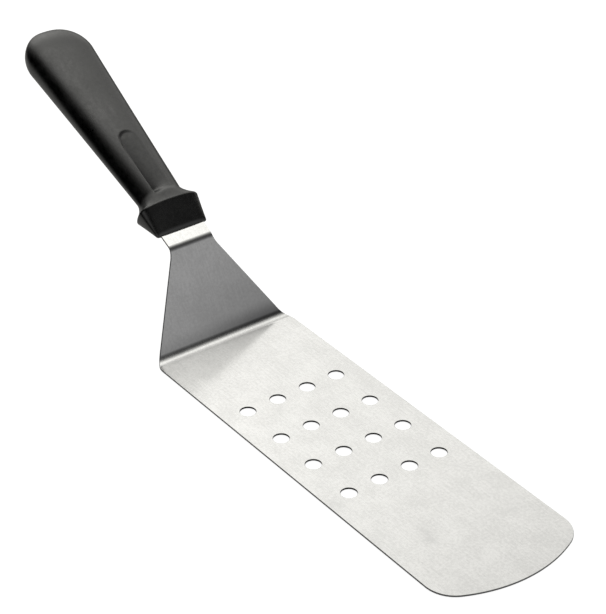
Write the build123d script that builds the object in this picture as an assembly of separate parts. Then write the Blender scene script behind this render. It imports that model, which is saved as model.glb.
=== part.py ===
from build123d import *
import os
from math import cos, sin, radians, pi

# Grill spatula: a folded stainless blade with a plastic handle moulded on its tang.
# +X points from the handle to the blade's tip, +Z is up, and the blade lies flat on Z = 0.
# The origin is the middle of the bounding box in X and Y, at the underside of the blade.

# --- driving dimensions, mm and degrees ---
SHEET = 0.9                    # thickness of the stainless sheet
FOLD_RADIUS = 4.6              # inside radius of both folds

BLADE_LENGTH = 213.5           # from the first fold to the tip
BLADE_WIDTH = 73.0
TIP_RADIUS = 64.0              # the long arc across the tip
TIP_CORNER_RADIUS = 14.5
HEEL_CORNER_RADIUS = 10.8      # where the tapering riser meets the blade's long edges

HOLE_DIAMETER = 7.2
HOLE_COLUMNS = 4
HOLE_COLUMN_PITCH = 16.0
FIRST_ROW = 56.0               # from the first fold to the nearest row of holes
ROW_STEPS = (24.7, 23.1, 24.7)

RISER_ANGLE = 61.2             # between the riser and the blade's plane
RISER_LENGTH = 46.4            # from the first fold to the second
RISER_FOOT_WIDTH = 67.6        # at the first fold
TAPER_LENGTH = 43.8            # along the riser, from the first fold to the parallel neck
NECK_WIDTH = 23.0
NECK_FILLET = 12.0

HANDLE_ANGLE = 24.15           # between the handle's axis and the blade's plane
TANG_WIDTH = 17.0
TANG_START = 12.0              # from the second fold, just inside the guard
TANG_END = 96.0
TANG_END_RADIUS = 6.0
TANG_HOLE_DIAMETER = 8.0
TANG_HOLES = (42.0, 77.0)      # from the second fold

GUARD_FRONT = 7.4              # from the second fold to the front of the handle
GUARD_FRONT_SIZE = (26.8, 2.8)
GUARD_RIDGE = 20.8
GUARD_RIDGE_SIZE = (32.4, 14.2)
GRIP_START = 28.0
GRIP_START_SIZE = (23.4, 13.6)
GRIP_END = 117.8               # where the rounded butt begins
GRIP_END_SIZE = (34.2, 16.4)
HANDLE_LENGTH = 135.7          # from the second fold to the end of the butt

GUARD_FULLNESS = 0.86          # of the cross-sections: 0.55 is an ellipse, 1 nearly a rectangle
GRIP_FULLNESS = 0.66

RECESS_WIDTH = 9.2
RECESS_ENDS = (33.0, 58.6)     # the centres of its two rounded ends
RECESS_DEPTHS = (1.4, 0.6)     # along its middle, at those centres
RECESS_LEAN = 6.0              # its floor climbs to the handle's left, so the right wall is deep
RECESS_FLOOR_RADIUS = 1.1      # between its walls and its floor

FLARE_STEPS = 3
BUTT_SECTIONS = 6
REACH = 400.0                  # longer than the spatula, for tools that cut right through


def heading(angle):
    """Unit vector that climbs backwards at this angle from the blade's plane."""
    return Vector(-cos(radians(angle)), 0, sin(radians(angle)))


FOLD = Vector(0, 0, SHEET / 2)                       # middle of the sheet at the first fold
CREST = FOLD + heading(RISER_ANGLE) * RISER_LENGTH   # and at the second


def handle_plane(station):
    """Cross-section of the handle: X to one side, Y out of the handle's top, Z to its butt."""
    origin = CREST + heading(HANDLE_ANGLE) * station
    return Plane(origin=origin, x_dir=(0, -1, 0), z_dir=heading(HANDLE_ANGLE))


def tang_plane():
    """The middle of the neck and tang: X along the handle, Z out of the handle's top."""
    return Plane(origin=CREST, x_dir=heading(HANDLE_ANGLE), z_dir=heading(HANDLE_ANGLE + 90))


def folded_strip():
    """The sheet folded twice, at full width all the way."""
    route = Polyline(
        FOLD + Vector(BLADE_LENGTH, 0, 0),
        FOLD,
        CREST,
        CREST + heading(HANDLE_ANGLE) * TANG_END,
    )
    bends = route.vertices().sort_by(Axis.X)[1:3]
    route = fillet(bends, FOLD_RADIUS + SHEET / 2)
    middle = Pos(Y=-BLADE_WIDTH / 2) * Shell.extrude(route, Vector(0, BLADE_WIDTH, 0))
    return thicken(middle, SHEET / 2, both=True)


def blank_outline():
    """The flat blank on the blade's plane: blade, tapering riser and parallel neck."""
    half = BLADE_WIDTH / 2
    half_foot = RISER_FOOT_WIDTH / 2
    half_neck = NECK_WIDTH / 2
    slope = (half_foot - half_neck) / TAPER_LENGTH
    heel = (half - half_foot) / slope
    left = [(REACH, half), (heel, half), (-TAPER_LENGTH, half_neck), (-REACH, half_neck)]
    right = [(x, -y) for x, y in reversed(left)]
    blank = make_face(Polyline(left + right, close=True))
    corners = blank.vertices().sort_by(Axis.X)
    blank = fillet(corners[4:6], HEEL_CORNER_RADIUS)
    return fillet(blank.vertices().sort_by(Axis.X)[2:4], NECK_FILLET)


def blank_cutter():
    """The blank's outline, swept along the first fold's bisector.

    That direction meets the blade and the riser at the same angle, so lengths behind
    the fold on the flat blank come out as the same lengths up the riser.
    """
    bisector = heading(180 - (180 - RISER_ANGLE) / 2)
    return extrude(blank_outline(), REACH, dir=bisector, both=True)


def tip_outline():
    """The rounded tip seen from above. It runs on far behind the first fold."""
    arc_centre = BLADE_LENGTH - TIP_RADIUS
    tip = Pos(X=arc_centre) * (Circle(TIP_RADIUS) & Rectangle(2 * TIP_RADIUS, BLADE_WIDTH))
    outline = tip + Pos(X=arc_centre - REACH / 2) * Rectangle(REACH, BLADE_WIDTH)
    return fillet(outline.vertices().sort_by(Axis.X)[-2:], TIP_CORNER_RADIUS)


def perforations():
    """The drainage holes, as a block of drills."""
    drill = Cylinder(HOLE_DIAMETER / 2, 4 * SHEET)
    drills = []
    row = FIRST_ROW
    for step in (0,) + ROW_STEPS:
        row += step
        for column in range(HOLE_COLUMNS):
            side = (column - (HOLE_COLUMNS - 1) / 2) * HOLE_COLUMN_PITCH
            drills.append(Pos(row, side, 0) * drill)
    return drills


def tang_waste():
    """What is cut from the strip inside the handle, its locking holes included."""
    length = TANG_END - TANG_START
    tang = Pos(X=TANG_START + length / 2) * Rectangle(length, TANG_WIDTH)
    tang = fillet(tang.vertices().sort_by(Axis.X)[-2:], TANG_END_RADIUS)
    for station in TANG_HOLES:
        tang -= Pos(X=station) * Circle(TANG_HOLE_DIAMETER / 2)
    around = Pos(X=TANG_START + length) * Rectangle(2 * length, BLADE_WIDTH + 2)
    return extrude(tang_plane() * (around - tang), 2 * SHEET, both=True)


def make_blade():
    tip_cutter = extrude(tip_outline(), REACH, both=True)
    trimmed = folded_strip() & blank_cutter() & tip_cutter
    return trimmed - tang_waste() - perforations()


def handle_section(station, size, fullness):
    """Across the handle: four quarters, each one curve from a side to the top or underside."""
    side, top = size[0] / 2, size[1] / 2
    quarter = Bezier((side, 0), (side, top * fullness), (side * fullness, top), (0, top))
    upper = quarter + mirror(quarter, Plane.YZ)
    return handle_plane(station) * make_face(upper + mirror(upper, Plane.XZ))


def between(start, end, share):
    """A size part of the way from one to the other."""
    return tuple(a + (b - a) * share for a, b in zip(start, end))


def guard():
    """The nose that tapers down to the neck, and the flare that joins its ridge to the grip."""
    front = handle_section(GUARD_FRONT, GUARD_FRONT_SIZE, GUARD_FULLNESS)
    ridge = handle_section(GUARD_RIDGE, GUARD_RIDGE_SIZE, GUARD_FULLNESS)
    flare = [ridge]
    for step in range(1, FLARE_STEPS + 1):
        share = step / FLARE_STEPS
        flare.append(handle_section(
            GUARD_RIDGE + (GRIP_START - GUARD_RIDGE) * share,
            between(GRIP_START_SIZE, GUARD_RIDGE_SIZE, (1 - share) ** 2),
            GUARD_FULLNESS + (GRIP_FULLNESS - GUARD_FULLNESS) * share,
        ))
    return loft([front, ridge], ruled=True) + loft(flare)


def grip():
    """The straight grip and its rounded butt."""
    start = handle_section(GRIP_START, GRIP_START_SIZE, GRIP_FULLNESS)
    end = handle_section(GRIP_END, GRIP_END_SIZE, GRIP_FULLNESS)
    butt = [end]
    for step in range(1, BUTT_SECTIONS):
        turn = pi / 2 * step / BUTT_SECTIONS
        butt.append(handle_section(
            GRIP_END + (HANDLE_LENGTH - GRIP_END) * sin(turn),
            between((0, 0), GRIP_END_SIZE, cos(turn)),
            GRIP_FULLNESS,
        ))
    point = CREST + heading(HANDLE_ANGLE) * HANDLE_LENGTH
    return loft([start, end], ruled=True) + loft(butt + [Vertex(*point)])


def grip_height(station):
    """From the grip's axis to the middle of its top."""
    share = (station - GRIP_START) / (GRIP_END - GRIP_START)
    return between(GRIP_START_SIZE, GRIP_END_SIZE, share)[1] / 2


def thumb_recess():
    """A round-ended hollow in the top of the grip, deepest beside the guard on the right."""
    near, far = (
        handle_plane(station).from_local_coords((0, grip_height(station) - depth, 0))
        for station, depth in zip(RECESS_ENDS, RECESS_DEPTHS)
    )
    along = far - near
    level = Plane(origin=(near + far) / 2, x_dir=along, z_dir=Vector(0, 1, 0).cross(along))
    floor = level.rotated((-RECESS_LEAN, 0, 0))
    outline = floor * SlotCenterToCenter(along.length, RECESS_WIDTH)
    hollow = extrude(outline, grip_height(RECESS_ENDS[0]))
    floor_edges = hollow.faces().sort_by(Axis(floor.origin, floor.z_dir))[0].edges()
    return fillet(floor_edges, RECESS_FLOOR_RADIUS)


def make_handle(blade):
    """Moulded over the tang, so the tang's own shape is what is left out of it."""
    return guard() + grip() - thumb_recess() - blade


def main():
    os.makedirs("parts", exist_ok=True)
    blade = make_blade()
    handle = make_handle(blade)
    box = (blade + handle).bounding_box()
    centred = Pos(X=-(box.min.X + box.max.X) / 2)
    for name, part in (("blade", blade), ("handle", handle)):
        export_step(centred * part, f"parts/{name}.step")
        print(name, part.bounding_box().size, round(part.volume))
    print("first fold at X =", round(centred.position.X, 3))


main()
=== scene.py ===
import math

import bpy
import bmesh
import numpy as np
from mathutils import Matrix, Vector, geometry


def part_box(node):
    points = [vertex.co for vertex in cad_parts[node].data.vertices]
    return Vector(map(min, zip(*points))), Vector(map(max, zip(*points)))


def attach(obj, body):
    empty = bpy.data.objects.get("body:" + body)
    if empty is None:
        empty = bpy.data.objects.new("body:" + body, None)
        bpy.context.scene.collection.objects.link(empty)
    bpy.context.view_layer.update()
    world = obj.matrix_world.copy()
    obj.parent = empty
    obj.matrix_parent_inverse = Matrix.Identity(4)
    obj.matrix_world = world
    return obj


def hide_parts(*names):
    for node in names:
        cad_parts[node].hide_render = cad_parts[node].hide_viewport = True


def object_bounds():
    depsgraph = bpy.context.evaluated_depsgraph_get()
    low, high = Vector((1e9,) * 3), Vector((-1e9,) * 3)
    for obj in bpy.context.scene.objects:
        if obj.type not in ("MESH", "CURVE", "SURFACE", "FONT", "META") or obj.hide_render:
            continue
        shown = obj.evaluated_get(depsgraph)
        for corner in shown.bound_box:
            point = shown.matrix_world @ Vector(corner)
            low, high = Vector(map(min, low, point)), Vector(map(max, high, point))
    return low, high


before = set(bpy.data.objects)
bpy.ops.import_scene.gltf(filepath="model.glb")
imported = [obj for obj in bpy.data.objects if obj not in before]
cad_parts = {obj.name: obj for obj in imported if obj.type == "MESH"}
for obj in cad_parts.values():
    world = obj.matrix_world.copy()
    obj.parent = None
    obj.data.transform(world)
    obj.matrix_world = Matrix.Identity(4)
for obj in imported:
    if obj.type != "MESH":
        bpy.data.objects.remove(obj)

CAD_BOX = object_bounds()

# --- dimensions shared with the CAD model, metres and radians ---
MM = 0.001
SHEET = 0.9 * MM
BEND = 4.6 * MM + SHEET / 2            # to the middle of the sheet
FOLD_BEND = 6.3 * MM                   # the first fold is a little softer than the second
FOLD_EASE = 1.6 * MM                   # and begins this much nearer the tip
CREST_EASE = 0.25 * MM                 # the second begins this much lower on the riser
BLADE_LENGTH = 213.5 * MM
BLADE_WIDTH = 73.0 * MM
TIP_RADIUS = 64.0 * MM
TIP_CORNER = 14.5 * MM
HEEL_CORNER = 10.8 * MM
HOLE_RADIUS = 3.6 * MM
HOLE_PITCH = 16.0 * MM
HOLE_ROWS = (56.0 * MM, 80.7 * MM, 103.8 * MM, 128.5 * MM)
RISER_ANGLE = math.radians(61.2)
RISER_LENGTH = 46.4 * MM
FOOT_WIDTH = 67.6 * MM
TAPER_LENGTH = 43.8 * MM
NECK_WIDTH = 23.0 * MM
NECK_FILLET = 12.0 * MM
HANDLE_ANGLE = math.radians(24.15)
TANG_WIDTH = 17.0 * MM
TANG_START = 12.0 * MM
TANG_END = 96.0 * MM
TANG_CORNER = 6.0 * MM
TANG_HOLE_RADIUS = 4.0 * MM
TANG_HOLES = (42.0 * MM, 77.0 * MM)
EDGE = 0.16 * MM                       # how far the sheet's rims are rounded over
EDGE_LEANS = (35, 65, 90)              # of the rim's normals, in degrees from the sheet's face

# --- how finely the blade is meshed ---
FOLD_STEPS = 28                        # along each bend
HOLE_SIDES = 48
ROW_GAP = 5 * MM                       # between rows of inner points along the sheet
COLUMN_GAP = 2.5 * MM                  # between the points of a row
RIM_CLEAR = 1.2 * MM                   # inner points stay this far from the outline
HOLE_CLEAR = 1.5 * MM                  # and this far from the holes

# --- the handle, mm ---
# stations along it from the second fold, and (width, thickness, fullness) there
NOSE = (7.4, (26.8, 2.8, 0.86))
RIDGE = (20.8, (32.4, 14.2, 0.86))     # of the guard
GRIP = (28.0, (23.4, 13.6, 0.49))      # where the flare ends
BUTT = (117.8, (34.2, 16.4, 0.76))     # where the rounded end begins
HANDLE_END = 135.7
NOSE_CORNER = 0.45                     # how far the front edge is rounded over
RIDGE_REACH = 0.55                     # how far either way the ridge is rounded over
RECESS_END = (58.7, 1.0)               # station and side of the centre of its rounded end
RECESS_RADIUS = 5.3
RECESS_DEPTH = 0.9                     # at its rounded end, beside its steep wall
RECESS_DEEPER = 2.2                    # and this much more beside the guard
RECESS_SHALLOW_SIDE = 7.2              # where its floor has climbed out to the grip's top
RECESS_FLOOR_WIDTH = 11.5
SINK_AT = (77, 1)                      # a faint sink mark over the tang's second hole
SINK_DEPTH = 0.16
TOP_POINTS = 85                        # on each quarter of a section's top
UNDER_POINTS = 25                      # and on each quarter of its underside
BUTT_RINGS = 28

FOLD_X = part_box("blade")[1].x - BLADE_LENGTH
FLOOR_Z = CAD_BOX[0][2]


def heading(angle):
    """Unit vector that climbs backwards at this angle from the blade's plane."""
    return np.array([-math.cos(angle), 0.0, math.sin(angle)])


def sheet_normal(angle):
    """Unit vector out of the top of a sheet that climbs at this angle."""
    return np.array([math.sin(angle), 0.0, math.cos(angle)])


def turn(start, end, radius):
    """How far a bend of this radius moves the sheet on while its heading turns."""
    return (sheet_normal(start) - sheet_normal(end)) * radius


FOLD = np.array([FOLD_X, 0.0, SHEET / 2])
CREST = FOLD + heading(RISER_ANGLE) * RISER_LENGTH


# ---------------------------------------------------------------- blade
class Sheet:
    """The middle of the folded sheet, by distance q from the tip, measured along the metal.

    It lies flat up to q1, bends to q2, climbs as the riser to q3, bends back to q4, and
    carries on as the neck and the tang.
    """

    def __init__(self):
        corner = FOLD - heading(0) * FOLD_EASE
        crest = CREST - heading(RISER_ANGLE) * CREST_EASE
        rise = crest - corner
        lean = math.atan2(rise[2], -rise[0])
        fold_cut = FOLD_BEND * math.tan(lean / 2)
        self.crest_cut = BEND * math.tan((lean - HANDLE_ANGLE) / 2)
        self.q1 = BLADE_LENGTH - FOLD_EASE - fold_cut
        self.q2 = self.q1 + FOLD_BEND * lean
        self.q3 = self.q2 + np.linalg.norm(rise) - fold_cut - self.crest_cut
        self.q4 = self.q3 + BEND * (lean - HANDLE_ANGLE)
        self.parts = (                  # (from q, point there, angle there, radius)
            (0.0, corner - heading(0) * (fold_cut + self.q1), 0.0, None),
            (self.q1, corner - heading(0) * fold_cut, 0.0, FOLD_BEND),
            (self.q2, corner + heading(lean) * fold_cut, lean, None),
            (self.q3, crest - heading(lean) * self.crest_cut, lean, -BEND),
            (self.q4, crest + heading(HANDLE_ANGLE) * self.crest_cut, HANDLE_ANGLE, None),
        )

    def at(self, q):
        """(point, heading angle) at q."""
        begun, point, angle, radius = [part for part in self.parts if part[0] <= max(q, 0.0)][-1]
        if radius is None:
            return point + heading(angle) * (q - begun), angle
        end = angle + (q - begun) / radius
        return point + turn(angle, end, radius), end

    def blank_x(self, q):
        """Where q lies on the flat blank: distance in front of the first fold's corner."""
        point = self.at(q)[0] - FOLD
        lean = math.tan(RISER_ANGLE / 2)
        return point[0] - point[2] * lean

    def handle_q(self, station):
        """q of a station on the handle's axis, in metres from the second fold."""
        return self.q4 + station - self.crest_cut


SHEET_PATH = Sheet()


def arc(centre, radius, start, end, count):
    """Points along an arc, both ends included."""
    angles = [start + (end - start) * k / count for k in range(count + 1)]
    return [(centre[0] + radius * math.cos(a), centre[1] + radius * math.sin(a)) for a in angles]


def half_width(x):
    """Half the width of the blank, behind its tip, at x in front of the first fold's corner."""
    half, foot, neck = BLADE_WIDTH / 2, FOOT_WIDTH / 2, NECK_WIDTH / 2
    slope = (foot - neck) / TAPER_LENGTH
    lean = math.atan(slope)
    heel = (half - foot) / slope
    reach = HEEL_CORNER * math.tan(lean / 2)
    if x >= heel + reach:
        return half
    if x > heel - reach * math.cos(lean):
        run = heel + reach - x
        return half - HEEL_CORNER + math.sqrt(HEEL_CORNER ** 2 - run ** 2)
    reach = NECK_FILLET * math.tan(lean / 2)
    if x >= -TAPER_LENGTH + reach * math.cos(lean):
        return foot + slope * x
    if x > -TAPER_LENGTH - reach:
        run = x + TAPER_LENGTH + reach
        return neck + NECK_FILLET - math.sqrt(NECK_FILLET ** 2 - run ** 2)
    return neck


def blade_outline():
    """The blank's outline in (q, side), counted once round."""
    arc_x = BLADE_LENGTH - TIP_RADIUS
    corner_y = BLADE_WIDTH / 2 - TIP_CORNER
    corner_x = arc_x + math.sqrt((TIP_RADIUS - TIP_CORNER) ** 2 - corner_y ** 2)
    meet = math.asin(corner_y / (TIP_RADIUS - TIP_CORNER))
    tip = arc((arc_x, 0), TIP_RADIUS, 0, meet, 24)
    tip += arc((corner_x, corner_y), TIP_CORNER, meet, math.pi / 2, 20)[1:]
    side = [(BLADE_LENGTH - x, y) for x, y in tip]
    path = SHEET_PATH
    ends = path.handle_q(TANG_START)
    qs = np.concatenate([
        np.arange(side[-1][0] + 6 * MM, path.q1 - 9 * MM, 6 * MM),
        np.linspace(path.q1 - 8.5 * MM, path.q1, 15)[:-1],
        np.linspace(path.q1, path.q2, FOLD_STEPS + 1)[:-1],
        np.linspace(path.q2, path.q3 - 4 * MM, 10)[:-1],
        np.linspace(path.q3 - 4 * MM, path.q3, 8)[:-1],
        np.linspace(path.q3, path.q4, FOLD_STEPS + 1)[:-1],
        np.linspace(path.q4, ends, 5),
    ])
    side += [(q, half_width(path.blank_x(q))) for q in qs]
    last = path.handle_q(TANG_END)
    side.append((ends, TANG_WIDTH / 2))
    corner = (last - TANG_CORNER, TANG_WIDTH / 2 - TANG_CORNER)
    side += arc(corner, TANG_CORNER, math.pi / 2, 0, 8)
    return side + [(q, -y) for q, y in reversed(side[1:])]


def blade_holes():
    """(q, side, radius) of the drainage holes and of the tang's locking holes."""
    columns = [(k - 1.5) * HOLE_PITCH for k in range(4)]
    rows = [(BLADE_LENGTH - x, y, HOLE_RADIUS) for x in HOLE_ROWS for y in columns]
    return rows + [(SHEET_PATH.handle_q(s), 0.0, TANG_HOLE_RADIUS) for s in TANG_HOLES]


def outward(loop):
    """Unit normals of a closed loop, to the right of its direction of travel."""
    points = np.array(loop)
    ahead = np.roll(points, -1, 0) - points
    ahead /= np.linalg.norm(ahead, axis=1)[:, None]
    behind = np.roll(ahead, 1, 0)
    along = ahead + behind
    along /= np.linalg.norm(along, axis=1)[:, None]
    normal = np.stack([along[:, 1], -along[:, 0]], 1)
    stretch = 1 / np.clip((normal * np.stack([ahead[:, 1], -ahead[:, 0]], 1)).sum(1), 0.5, 1)
    return normal * stretch[:, None]


def within(points, loop):
    """Which of the points lie inside the closed loop."""
    found = np.zeros(len(points), bool)
    for a, b in zip(loop, np.roll(loop, -1, 0)):
        crosses = (a[1] > points[:, 1]) != (b[1] > points[:, 1])
        if crosses.any():
            cut = a[0] + (points[:, 1] - a[1]) / (b[1] - a[1]) * (b[0] - a[0])
            found ^= crosses & (points[:, 0] < cut)
    return found


def blade_loops():
    """Every edge of the blank as (points, normals away from the metal): outline, then holes."""
    outline = blade_outline()
    normals = outward(outline)
    middle = np.mean(outline, 0)
    if np.mean(((np.array(outline) - middle) * normals).sum(1)) < 0:
        normals = -normals
    loops = [(np.array(outline), normals)]
    for q, y, radius in blade_holes():
        turns = np.linspace(0, 2 * math.pi, HOLE_SIDES, endpoint=False)
        ring = np.stack([np.cos(turns), np.sin(turns)], 1)
        loops.append((np.array([q, y]) + ring * radius, -ring))
    return loops


def inner_points(outline):
    """Points spread over the blank, clear of its outline and its holes."""
    path = SHEET_PATH
    last = path.handle_q(TANG_END)
    stations = list(np.arange(6 * MM, path.q1 - 3 * MM, ROW_GAP))
    stations += list(np.linspace(path.q1, path.q2, FOLD_STEPS + 1))
    stations += list(np.linspace(path.q2, path.q3, 11)[1:-1])
    stations += list(np.linspace(path.q3, path.q4, FOLD_STEPS + 1))
    stations += list(np.arange(path.q4 + 3 * MM, last - 2 * MM, ROW_GAP))
    upper = outline[: len(outline) // 2 + 1]
    holes = blade_holes()
    found = []
    for q in stations:
        limit = np.interp(q, upper[:, 0], upper[:, 1]) - RIM_CLEAR
        if path.handle_q(TANG_START) - 1 * MM < q:
            limit = TANG_WIDTH / 2 - RIM_CLEAR
        count = max(int(limit / COLUMN_GAP), 1)
        for y in np.linspace(-limit, limit, 2 * count + 1):
            if all(math.hypot(q - a, y - b) > r + HOLE_CLEAR for a, b, r in holes):
                if q > 8 * MM or abs(y) < 22 * MM:
                    found.append(Vector((q, y)))
    return found


def triangulate(loops):
    """(points, faces inside the metal, where each rim point went), flat in (q, side)."""
    flat, edges = [], []
    for points, away in loops:
        first = len(flat)
        flat += [Vector(p) for p in points - away * EDGE]
        edges += [(first + k, first + (k + 1) % len(points)) for k in range(len(points))]
    flat += inner_points(loops[0][0])
    made = geometry.delaunay_2d_cdt(flat, edges, [], 0, 1e-8)
    points, faces, origin = made[0], made[2], made[3]
    middles = np.array([np.mean([points[i] for i in f], 0) for f in faces])
    kept = np.zeros(len(faces), bool)
    for loop, away in loops:
        kept ^= within(middles, loop - away * EDGE)
    faces = [f for f, keep in zip(faces, kept) if keep]
    return points, faces, {old: new for new, olds in enumerate(origin) for old in olds}


def make_blade(material):
    """The folded sheet as one closed mesh, every rim and hole edge slightly rounded."""
    loops = blade_loops()
    points, faces, where = triangulate(loops)
    coords, sheet, rims, bore_shades, facing = [], [], [], [], []

    def add(q, y, height, lean=0.0, away=(0.0, 0.0), bore_shade=False):
        """A vertex off the middle of the sheet, its normal leaning this far over to the rim."""
        point, angle = SHEET_PATH.at(q)
        up = sheet_normal(angle)
        over = heading(angle) * away[0] + np.array([0, away[1], 0])
        coords.append(point + np.array([0, y, 0]) + up * height)
        normal = up * math.copysign(math.cos(lean), height) + over * math.sin(lean)
        facing.append(normal / np.linalg.norm(normal))
        sheet.append((q, y))
        rims.append(math.sin(lean))
        bore_shades.append(math.sin(lean) * bore_shade)
        return len(coords) - 1

    top = [add(p.x, p.y, SHEET / 2) for p in points]
    bottom = [add(p.x, p.y, -SHEET / 2) for p in points]
    polys = []
    for f in faces:
        polys.append([top[i] for i in f])
        polys.append([bottom[i] for i in reversed(f)])

    first = 0
    for edge, away in loops:
        count = len(edge)
        rings = [[top[where[first + k]] for k in range(count)]]
        for sign, leans in ((1, EDGE_LEANS), (-1, EDGE_LEANS[::-1])):
            for degrees in leans:
                lean = math.radians(degrees)
                move = (math.sin(lean) - 1) * EDGE
                height = sign * (SHEET / 2 - (1 - math.cos(lean)) * EDGE)
                rings.append([add(q + n[0] * move, y + n[1] * move, height, lean, n, first > 0)
                              for (q, y), n in zip(edge, away)])
        rings.append([bottom[where[first + k]] for k in range(count)])
        for above, below in zip(rings, rings[1:]):
            for k in range(count):
                n = (k + 1) % count
                polys.append([above[k], above[n], below[n], below[k]])
        first += count
    # the holes' rims are marked for painted shade in the material
    marks = {"rim": rims, "bore_shade": bore_shades}
    return finish_mesh("steel_blade", coords, polys, material, marks, sheet, facing)


def finish_mesh(name, coords, polys, material, marks, sheet=None, facing=None):
    """An object of these faces. Marks are numbers for its material, one at each vertex."""
    mesh = bpy.data.meshes.new(name)
    mesh.from_pydata([tuple(c) for c in coords], [], polys)
    if sheet is not None:
        layer = mesh.uv_layers.new(name="sheet")
        for loop in mesh.loops:
            layer.data[loop.index].uv = sheet[loop.vertex_index]
    for mark, values in marks.items():
        layer = mesh.attributes.new(mark, "FLOAT", "POINT")
        layer.data.foreach_set("value", np.array(values, float))
    work = bmesh.new()
    work.from_mesh(mesh)
    bmesh.ops.recalc_face_normals(work, faces=work.faces)
    work.to_mesh(mesh)
    work.free()
    mesh.shade_smooth()
    if facing is not None:
        mesh.normals_split_custom_set_from_vertices([tuple(n) for n in facing])
    mesh.materials.append(material)
    piece = bpy.data.objects.new(name, mesh)
    bpy.context.scene.collection.objects.link(piece)
    return piece


# ---------------------------------------------------------------- handle
def smooth(low, high, value):
    """0 below low, 1 above high, and an S-shaped rise between."""
    share = np.clip((value - low) / (high - low), 0, 1)
    return share * share * (3 - 2 * share)


def raw_section(s):
    """(width, thickness, fullness) at station s in mm, before edges are rounded."""
    nose, ridge, grip, butt = (np.array(x[1]) for x in (NOSE, RIDGE, GRIP, BUTT))
    if s <= RIDGE[0]:
        return nose + (ridge - nose) * (s - NOSE[0]) / (RIDGE[0] - NOSE[0])
    if s <= GRIP[0]:
        share = (s - RIDGE[0]) / (GRIP[0] - RIDGE[0])
        size = grip + (ridge - grip) * (1 - share) ** 2
        size[2] = ridge[2] + (grip[2] - ridge[2]) * share
        return size
    return grip + (butt - grip) * (s - GRIP[0]) / (BUTT[0] - GRIP[0])


def section(s):
    """The same with the ridge rounded over, and the long curve of the flare eased in."""
    return np.mean([raw_section(s + d) for d in np.linspace(-RIDGE_REACH, RIDGE_REACH, 9)], 0)


def in_recess(s, y):
    """How far inside the thumb recess's outline a point is, mm. Its near end is open."""
    return RECESS_RADIUS - np.hypot(np.maximum(s - RECESS_END[0], 0), y - RECESS_END[1])


def dip(s, y):
    """How far the top of the grip is pressed in, at station s and y to the side, mm.

    The recess has a steep wall on its -Y side and a rounded end, and its floor climbs out to
    the +Y side.
    """
    inside = in_recess(s, np.minimum(y, 6.0))
    depth = RECESS_DEPTH + RECESS_DEEPER * np.clip((60 - s) / 30, 0, 1)
    wall = 0.8 + 0.9 * smooth(56, 60, s)
    floor = np.clip((RECESS_SHALLOW_SIDE - y) / RECESS_FLOOR_WIDTH, 0, 1) ** 1.1
    recess = depth * floor * smooth(-0.2, wall, inside) * smooth(25.6, 30.2, s)
    sink = SINK_DEPTH * np.exp(-((s - SINK_AT[0]) / 5) ** 2 - ((y - SINK_AT[1]) / 1.5) ** 2)
    return recess + sink


def matt(s, y):
    """1 where the moulding is more matt: in the recess, and along the hollow of the flare."""
    pressed = smooth(0.0, 1.2, in_recess(s, y)) * smooth(29.0, 34.0, s)
    return np.maximum(pressed, np.exp(-((s - 24.5) / 2.2) ** 2))


def ring_points(size):
    """One cross-section as (side, up), finer on top, from the right side up and over."""
    half, top, fullness = size[0] / 2, size[1] / 2, size[2]

    def quarter(t):
        u = 1 - t
        a = u ** 3 + 3 * u * u * t + 3 * u * t * t * fullness
        b = t ** 3 + 3 * t * t * u + 3 * t * u * u * fullness
        return a * half, b * top

    fx, fy = quarter(np.linspace(0, 1, TOP_POINTS))
    cx, cy = quarter(np.linspace(0, 1, UNDER_POINTS))
    side = np.concatenate([fx, -fx[::-1][1:], -cx[1:], cx[::-1][1:-1]])
    up = np.concatenate([fy, fy[::-1][1:], -cy[1:], -cy[::-1][1:-1]])
    return side, up


def handle_rings():
    """(station, size) of every cross-section, closest together at the recess."""
    rings = []
    for degrees in (0, 22, 45, 68):
        t = math.radians(degrees)
        size = raw_section(NOSE[0]).copy()
        size[:2] -= 2 * NOSE_CORNER * (1 - math.sin(t))
        rings.append((NOSE[0] + NOSE_CORNER * (1 - math.cos(t)), size))
    stations = np.concatenate([
        np.linspace(NOSE[0] + NOSE_CORNER, RIDGE[0] - 1.2, 10),
        np.linspace(RIDGE[0] - 0.9, RIDGE[0] + 0.9, 10),
        np.linspace(RIDGE[0] + 1.2, GRIP[0] - 1.5, 16),
        np.arange(GRIP[0] - 1.1, 66.0, 0.35),
        np.arange(66.5, BUTT[0] - 6, 1.5),
        np.linspace(BUTT[0] - 6, BUTT[0], 6),
    ])
    rings += [(s, section(s)) for s in stations]
    for k in range(1, BUTT_RINGS):
        t = math.pi / 2 * k / BUTT_RINGS
        size = section(BUTT[0])
        size[:2] *= math.cos(t) ** 0.96
        rings.append((BUTT[0] + (HANDLE_END - BUTT[0]) * math.sin(t), size))
    return rings


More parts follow.
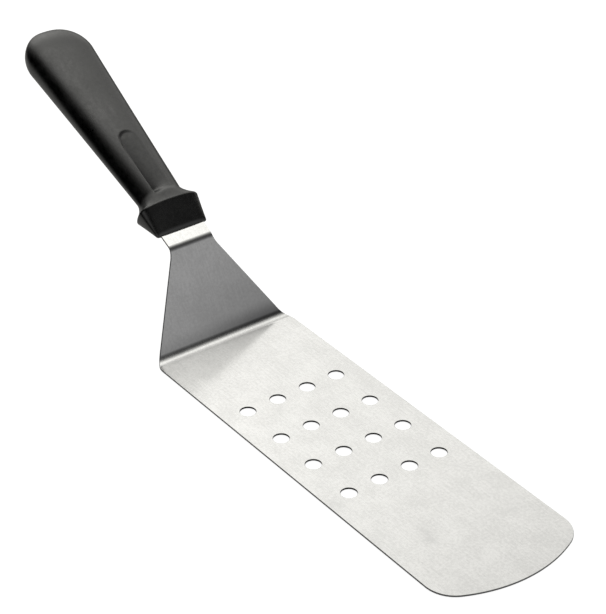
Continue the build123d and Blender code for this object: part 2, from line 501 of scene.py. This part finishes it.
def make_handle(material):
    """The moulded handle, ring by ring from the nose to the butt."""
    along, up_axis = heading(HANDLE_ANGLE), sheet_normal(HANDLE_ANGLE)
    rings = handle_rings()
    coords, polys, ridge, nose, dull = [], [], [], [], []
    count = 0
    for s, size in rings:
        side, up = ring_points(size)
        count = len(side)
        top = smooth(0.25, 0.6, up / max(size[1] / 2, 0.01))
        up = up - dip(s, side) * top
        dull.extend(matt(s, side) * top)
        for a, b in zip(side, up):
            across = np.array([0, a, 0])
            coords.append(CREST + along * s * MM + across * MM + up_axis * b * MM)
            ridge.append(math.exp(-((s - RIDGE[0]) / 0.8) ** 2))
            nose.append(1 - smooth(RIDGE[0] - 1, RIDGE[0] + 1, s))
    for r in range(len(rings) - 1):
        for k in range(count):
            n = (k + 1) % count
            polys.append([r * count + k, r * count + n, (r + 1) * count + n, (r + 1) * count + k])
    for s, r in ((rings[0][0], 0), (HANDLE_END, len(rings) - 1)):
        coords.append(CREST + along * s * MM)
        ridge.append(0.0)
        nose.append(float(s < RIDGE[0]))
        dull.append(0.0)
        for k in range(count):
            polys.append([len(coords) - 1, r * count + k, r * count + (k + 1) % count])
    marks = {"rim": ridge, "nose": nose, "matt": dull}
    return finish_mesh("moulded_handle", coords, polys, material, marks)


# ---------------------------------------------------------------- materials
class Graph:
    """A shorthand for building a material's nodes. A value is an output or a number."""

    def __init__(self, tree):
        self.tree = tree

    def node(self, kind, **settings):
        made = self.tree.nodes.new("ShaderNode" + kind)
        for key, value in settings.items():
            setattr(made, key, value)
        return made

    def put(self, socket, value):
        """Link an output to the socket, or set its number."""
        if hasattr(value, "is_output"):
            self.tree.links.new(value, socket)
        else:
            socket.default_value = value

    def mark(self, name):
        """A number stored at each vertex of the mesh."""
        return self.node("Attribute", attribute_name=name).outputs["Fac"]

    def split(self, vector):
        """Its three parts."""
        made = self.node("SeparateXYZ")
        self.put(made.inputs[0], vector)
        return made.outputs[0], made.outputs[1], made.outputs[2]

    def noise(self, vector, scale, detail=2.0, rough=0.5):
        made = self.node("TexNoise")
        self.put(made.inputs["Vector"], vector)
        made.inputs["Scale"].default_value = scale
        made.inputs["Detail"].default_value = detail
        made.inputs["Roughness"].default_value = rough
        return made.outputs["Fac"]

    def stretch(self, vector, scale, turn=0.0):
        """The coordinates, turned by this many radians and scaled."""
        made = self.node("Mapping")
        self.put(made.inputs["Vector"], vector)
        made.inputs["Scale"].default_value = scale
        made.inputs["Rotation"].default_value = (0, 0, turn)
        return made.outputs["Vector"]

    def maths(self, operation, *values):
        made = self.node("Math", operation=operation)
        for socket, value in zip(made.inputs, values):
            self.put(socket, value)
        return made.outputs[0]

    def span(self, value, low, high, to_low, to_high):
        """to_low below low, to_high above high, and an S-shaped change between."""
        made = self.node("MapRange", interpolation_type="SMOOTHSTEP")
        self.put(made.inputs["Value"], value)
        ends = (("From Min", low), ("From Max", high), ("To Min", to_low), ("To Max", to_high))
        for name, number in ends:
            made.inputs[name].default_value = number
        return made.outputs["Result"]

    def mix(self, share, a, b):
        made = self.node("Mix", data_type="RGBA")
        self.put(made.inputs[0], share)
        self.put(made.inputs[6], a)
        self.put(made.inputs[7], b)
        return made.outputs[2]

    def bump(self, height, strength, distance, normal=None):
        made = self.node("Bump")
        self.put(made.inputs["Height"], height)
        made.inputs["Strength"].default_value = strength
        made.inputs["Distance"].default_value = distance
        if normal is not None:
            self.put(made.inputs["Normal"], normal)
        return made.outputs["Normal"]


def new_material(name):
    """(material, its graph, its shader)."""
    material = bpy.data.materials.new(name)
    material.use_nodes = True
    shader = material.node_tree.nodes["Principled BSDF"]
    return material, Graph(material.node_tree), shader


# colours, from the darkest to the palest of each mottle, where the finish changes, and painted shade
# and painted highlight
STEEL_DULL = (0.547, 0.546, 0.544, 1)
STEEL_BRIGHT = (0.650, 0.649, 0.647, 1)
STEEL_SMUDGED = (0.50, 0.50, 0.50, 1)
# painted shade, darkening the riser towards its foot and its +Y side
STEEL_PAINTED_SHADE = (0.14, 0.14, 0.142, 1)
# painted shade on the sheet's rounded rims, for their dark reflection from below
STEEL_RIM_PAINTED_SHADE = (0.15, 0.15, 0.15, 1)
# painted shade, nearly black, on the rims of the holes
STEEL_BORE_PAINTED_SHADE = (0.03, 0.03, 0.03, 1)
PLASTIC_DARK = (0.002, 0.002, 0.002, 1)
PLASTIC_PALE = (0.0045, 0.0045, 0.0045, 1)
# painted highlight, paler along the guard's ridge
PLASTIC_RIDGE_HIGHLIGHT = (0.01, 0.01, 0.01, 1)


def riser_painted_shade(g, sheet):
    """How much painted shade darkens the riser's colour: most beside the first fold and towards +Y.
    """
    q, y, _ = g.split(sheet)
    start = SHEET_PATH.q2 - 1.5 * MM
    begun = g.span(q, start - 1.5 * MM, start, 0.0, 1.0)
    near = g.maths("MULTIPLY", begun, g.span(q, start, start + 9 * MM, 1.0, 0.0))
    far = g.maths("MULTIPLY", begun, g.span(q, start, SHEET_PATH.q3, 1.0, 0.0))
    across = g.span(y, -30 * MM, 30 * MM, 0.0, 1.0)
    both = g.maths("MULTIPLY_ADD", near, 0.24, g.maths("MULTIPLY", far, 0.20))
    sided = g.maths("MULTIPLY_ADD", near, 0.26, g.maths("MULTIPLY", far, 0.22))
    return g.maths("ADD", both, g.maths("MULTIPLY", across, sided))


def stretched(g, sheet):
    """1 in the first fold, where bending has roughened the sheet."""
    q, _, _ = g.split(sheet)
    begins = g.span(q, SHEET_PATH.q1, SHEET_PATH.q1 + 2 * MM, 0.0, 1.0)
    ends = g.span(q, SHEET_PATH.q2 - 2 * MM, SHEET_PATH.q2, 1.0, 0.0)
    return g.maths("MULTIPLY", begins, ends)


def steel_material():
    """Stainless sheet, ground along its length, with cloudy patches and stray scuffs.

    Its coordinates are metres along the metal and across it, so a noise's scale is in
    features to the metre.
    """
    material, g, shader = new_material("ground_stainless")
    sheet = g.node("UVMap", uv_map="sheet").outputs["UV"]
    rim = g.mark("rim")
    lines = g.noise(g.stretch(sheet, (35, 3600, 1)), 1.0, 3.0, 0.6)
    streak = g.noise(g.stretch(sheet, (70, 1300, 1), 0.06), 1.0, 3.0, 0.6)
    speck = g.noise(sheet, 750.0, 3.0, 0.6)
    cloud = g.noise(sheet, 75.0, 4.0, 0.62)
    smudge = g.noise(g.stretch(sheet, (30, 42, 1), 0.3), 1.0, 5.0, 0.68)
    scuff = g.noise(g.stretch(sheet, (140, 2300, 1), 0.45), 1.0, 2.0, 0.5)

    tone = g.maths("MULTIPLY_ADD", cloud, 0.38, g.maths("MULTIPLY", streak, 0.22))
    tone = g.maths("MULTIPLY_ADD", speck, 0.40, tone)
    tone = g.span(tone, 0.37, 0.63, 0.0, 1.0)
    colour = g.mix(tone, STEEL_DULL, STEEL_BRIGHT)
    colour = g.mix(g.span(smudge, 0.60, 0.74, 0.0, 0.6), colour, STEEL_SMUDGED)
    # painted shade on the riser, strongest beside the first fold and towards +Y
    colour = g.mix(riser_painted_shade(g, sheet), colour, STEEL_PAINTED_SHADE)
    # painted shade darkens the sheet's rounded rims
    colour = g.mix(rim, colour, STEEL_RIM_PAINTED_SHADE)
    # painted shade darkens the rims of the holes
    colour = g.mix(g.mark("bore_shade"), colour, STEEL_BORE_PAINTED_SHADE)
    g.put(shader.inputs["Base Color"], colour)
    shader.inputs["Metallic"].default_value = 1.0
    rough = g.span(cloud, 0.3, 0.7, 0.125, 0.155)
    rough = g.maths("ADD", rough, g.span(smudge, 0.4, 0.7, 0.0, 0.02))
    rough = g.maths("ADD", rough, g.span(lines, 0.35, 0.65, -0.01, 0.02))
    rough = g.maths("MULTIPLY_ADD", rim, 0.2, rough)
    rough = g.maths("MULTIPLY_ADD", stretched(g, sheet), 0.12, rough)
    g.put(shader.inputs["Roughness"], rough)
    shader.inputs["Anisotropic"].default_value = 0.35
    tangent = g.node("Tangent", direction_type="UV_MAP", uv_map="sheet")
    g.put(shader.inputs["Tangent"], tangent.outputs["Tangent"])
    normal = g.bump(lines, 0.05, 0.00002)
    normal = g.bump(streak, 0.015, 0.00003, normal)
    normal = g.bump(scuff, 0.03, 0.00002, normal)
    g.put(shader.inputs["Normal"], normal)
    return material


def plastic_material():
    """Black moulded plastic with a fine spark-eroded grain, shinier on the guard's edge and nose,
    with a painted highlight along the guard's ridge.
    """
    material, g, shader = new_material("moulded_black")
    place = g.node("TexCoord").outputs["Object"]
    rim = g.mark("rim")
    nose = g.mark("nose")
    grain = g.noise(place, 1500.0, 3.0, 0.65)
    pits = g.node("TexVoronoi")
    g.put(pits.inputs["Vector"], place)
    pits.inputs["Scale"].default_value = 1900.0
    haze = g.noise(place, 70.0, 3.0, 0.55)
    mottle = g.noise(place, 620.0, 3.0, 0.6)
    flow = g.noise(g.stretch(place, (20, 60, 20)), 6.0, 2.0, 0.5)

    tone = g.maths("ADD", g.maths("MULTIPLY", grain, 0.6), g.maths("MULTIPLY", haze, 0.4))
    colour = g.mix(g.span(tone, 0.35, 0.65, 0, 1), PLASTIC_DARK, PLASTIC_PALE)
    # painted highlight along the guard's ridge
    colour = g.mix(g.maths("MULTIPLY", rim, 0.5), colour, PLASTIC_RIDGE_HIGHLIGHT)
    g.put(shader.inputs["Base Color"], colour)
    rough = g.span(haze, 0.3, 0.7, 0.29, 0.34)
    rough = g.maths("ADD", rough, g.span(flow, 0.3, 0.7, 0.0, 0.03))
    rough = g.maths("MULTIPLY_ADD", rim, -0.08, rough)
    rough = g.maths("MULTIPLY_ADD", nose, -0.08, rough)
    rough = g.maths("MULTIPLY_ADD", g.mark("matt"), 0.13, rough)
    rough = g.maths("ADD", rough, g.span(mottle, 0.32, 0.68, -0.035, 0.04))
    g.put(shader.inputs["Roughness"], rough)
    shader.inputs["IOR"].default_value = 1.70
    grain = g.maths("MULTIPLY", grain, g.span(nose, 0, 1, 1.0, 0.4))
    normal = g.bump(grain, 0.6, 0.00006)
    normal = g.bump(pits.outputs["Distance"], 0.12, 0.00005, normal)
    g.put(shader.inputs["Normal"], normal)
    return material


# ---------------------------------------------------------------- stage
FLOOR_REACH = 4.0
FLOOR_GAP = 0.2 * MM                   # below the blade, so that the two don't flicker
WINDOW_FROM = (0.66, -0.72, 0.22)      # the direction of a dim window behind the viewer
WARM_SKY = (1, 0.993, 0.955, 1)
PLAIN_SKY = (1, 1, 1, 1)
SEEN_SKY = (0.95, 0.95, 0.95, 1)       # what the camera sees past the floor


def add_floor():
    """A plain pale floor, which the object neither reflects nor is lit by."""
    mesh = bpy.data.meshes.new("floor")
    corners = ((-1, -1), (1, -1), (1, 1), (-1, 1))
    level = FLOOR_Z - FLOOR_GAP
    points = [(x * FLOOR_REACH, y * FLOOR_REACH, level) for x, y in corners]
    mesh.from_pydata(points, [], [(0, 1, 2, 3)])
    material, _, shader = new_material("pale_floor")
    shader.inputs["Base Color"].default_value = (0.35, 0.35, 0.35, 1)
    shader.inputs["Roughness"].default_value = 0.9
    shader.inputs["Emission Color"].default_value = (1, 1, 1, 1)
    shader.inputs["Emission Strength"].default_value = 0.9
    mesh.materials.append(material)
    floor = bpy.data.objects.new("floor", mesh)
    bpy.context.scene.collection.objects.link(floor)
    floor.visible_glossy = False
    floor.visible_diffuse = False


# how bright the studio is, by the direction's angle about the Y axis: from +X over the top, degrees
AROUND = (
    (-180, 0.3), (-160, 0.0), (-90, 0.0), (-20, 0.15), (0, 0.45), (20, 0.60),
    (33, 0.36), (45, 0.16), (56, 0.09), (68, 0.18), (79, 0.68), (85, 1.0),
    (90, 1.4), (97, 2.15), (104, 1.85), (112, 1.3), (120, 1.15), (128, 1.3),
    (133, 1.6), (137, 1.82), (142, 1.75), (150, 1.65), (165, 1.0), (180, 0.3),
)
# and how much of that is left, by the direction's Y
ACROSS = (
    (-1.0, 0.0), (-0.5, 0.0), (-0.32, 0.06), (-0.18, 0.28), (-0.05, 0.66),
    (0.1, 1.02), (0.28, 1.08), (0.5, 0.78), (0.82, 0.62), (1.0, 0.4),
)


def ramp(g, value, low, high, stops):
    """A smooth curve through the stops, as a number."""
    share = g.node("MapRange")
    g.put(share.inputs["Value"], value)
    share.inputs["From Min"].default_value = low
    share.inputs["From Max"].default_value = high
    made = g.node("FloatCurve")
    g.put(made.inputs["Value"], share.outputs["Result"])
    top = max(stop[1] for stop in stops)
    curve = made.mapping.curves[0]
    places = [((at - low) / (high - low), level / top) for at, level in stops]
    for point, place in zip((curve.points[0], curve.points[1]), (places[0], places[-1])):
        point.location = place
    for place in places[1:-1]:
        curve.points.new(*place)
    made.mapping.update()
    return g.maths("MULTIPLY", made.outputs["Value"], top)


def add_light():
    """A broad soft box overhead and behind, dim walls in front, a dim window and a low glow."""
    world = bpy.data.worlds.new("studio")
    bpy.context.scene.world = world
    world.use_nodes = True
    g = Graph(world.node_tree)
    nodes = world.node_tree.nodes
    towards = g.node("TexCoord").outputs["Generated"]
    x, y, z = g.split(towards)
    stops = [(math.radians(at), level) for at, level in AROUND]
    around = ramp(g, g.maths("ARCTAN2", z, x), -math.pi, math.pi, stops)
    across = ramp(g, y, -1.0, 1.0, ACROSS)
    dot = g.node("VectorMath", operation="DOT_PRODUCT")
    g.put(dot.inputs[0], towards)
    dot.inputs[1].default_value = Vector(WINDOW_FROM).normalized()
    window = g.span(dot.outputs["Value"], 0.80, 0.97, 0.0, 0.6)
    low = g.span(z, -0.40, 0.0, 0.5, 0.0)
    total = g.maths("ADD", g.maths("MULTIPLY_ADD", around, across, window), low)
    sky = nodes["Background"]
    g.put(sky.inputs["Color"], g.mix(g.span(x, 0.1, 0.6, 0.0, 1.0), WARM_SKY, PLAIN_SKY))
    g.put(sky.inputs["Strength"], total)
    seen = g.node("Background")
    seen.inputs["Color"].default_value = SEEN_SKY
    ray = g.node("LightPath")
    either = g.node("MixShader")
    g.put(either.inputs[0], ray.outputs["Is Camera Ray"])
    g.put(either.inputs[1], sky.outputs[0])
    g.put(either.inputs[2], seen.outputs[0])
    g.put(nodes["World Output"].inputs["Surface"], either.outputs[0])


CAMERA_PLACE = (0.6860, -0.4824, 0.5679)
CAMERA_BACK = (0.67952, -0.49988, 0.53701)   # the direction that the camera faces away from
LENS = 132.69                                # mm, on a sensor 36 mm wide


def add_camera():
    """A long lens above the tip's right, which looks back along the spatula."""
    data = bpy.data.cameras.new("camera")
    data.lens = LENS
    data.sensor_width = 36.0
    data.clip_start = 0.01
    camera = bpy.data.objects.new("camera", data)
    camera.location = CAMERA_PLACE
    camera.rotation_euler = Vector(CAMERA_BACK).to_track_quat("Z", "Y").to_euler()
    bpy.context.scene.collection.objects.link(camera)
    bpy.context.scene.camera = camera


add_camera()
add_light()
add_floor()
bpy.context.scene.view_settings.view_transform = "Standard"

blade = make_blade(steel_material())
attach(blade, "root")
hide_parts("blade")

handle = make_handle(plastic_material())
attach(handle, "root")
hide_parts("handle")
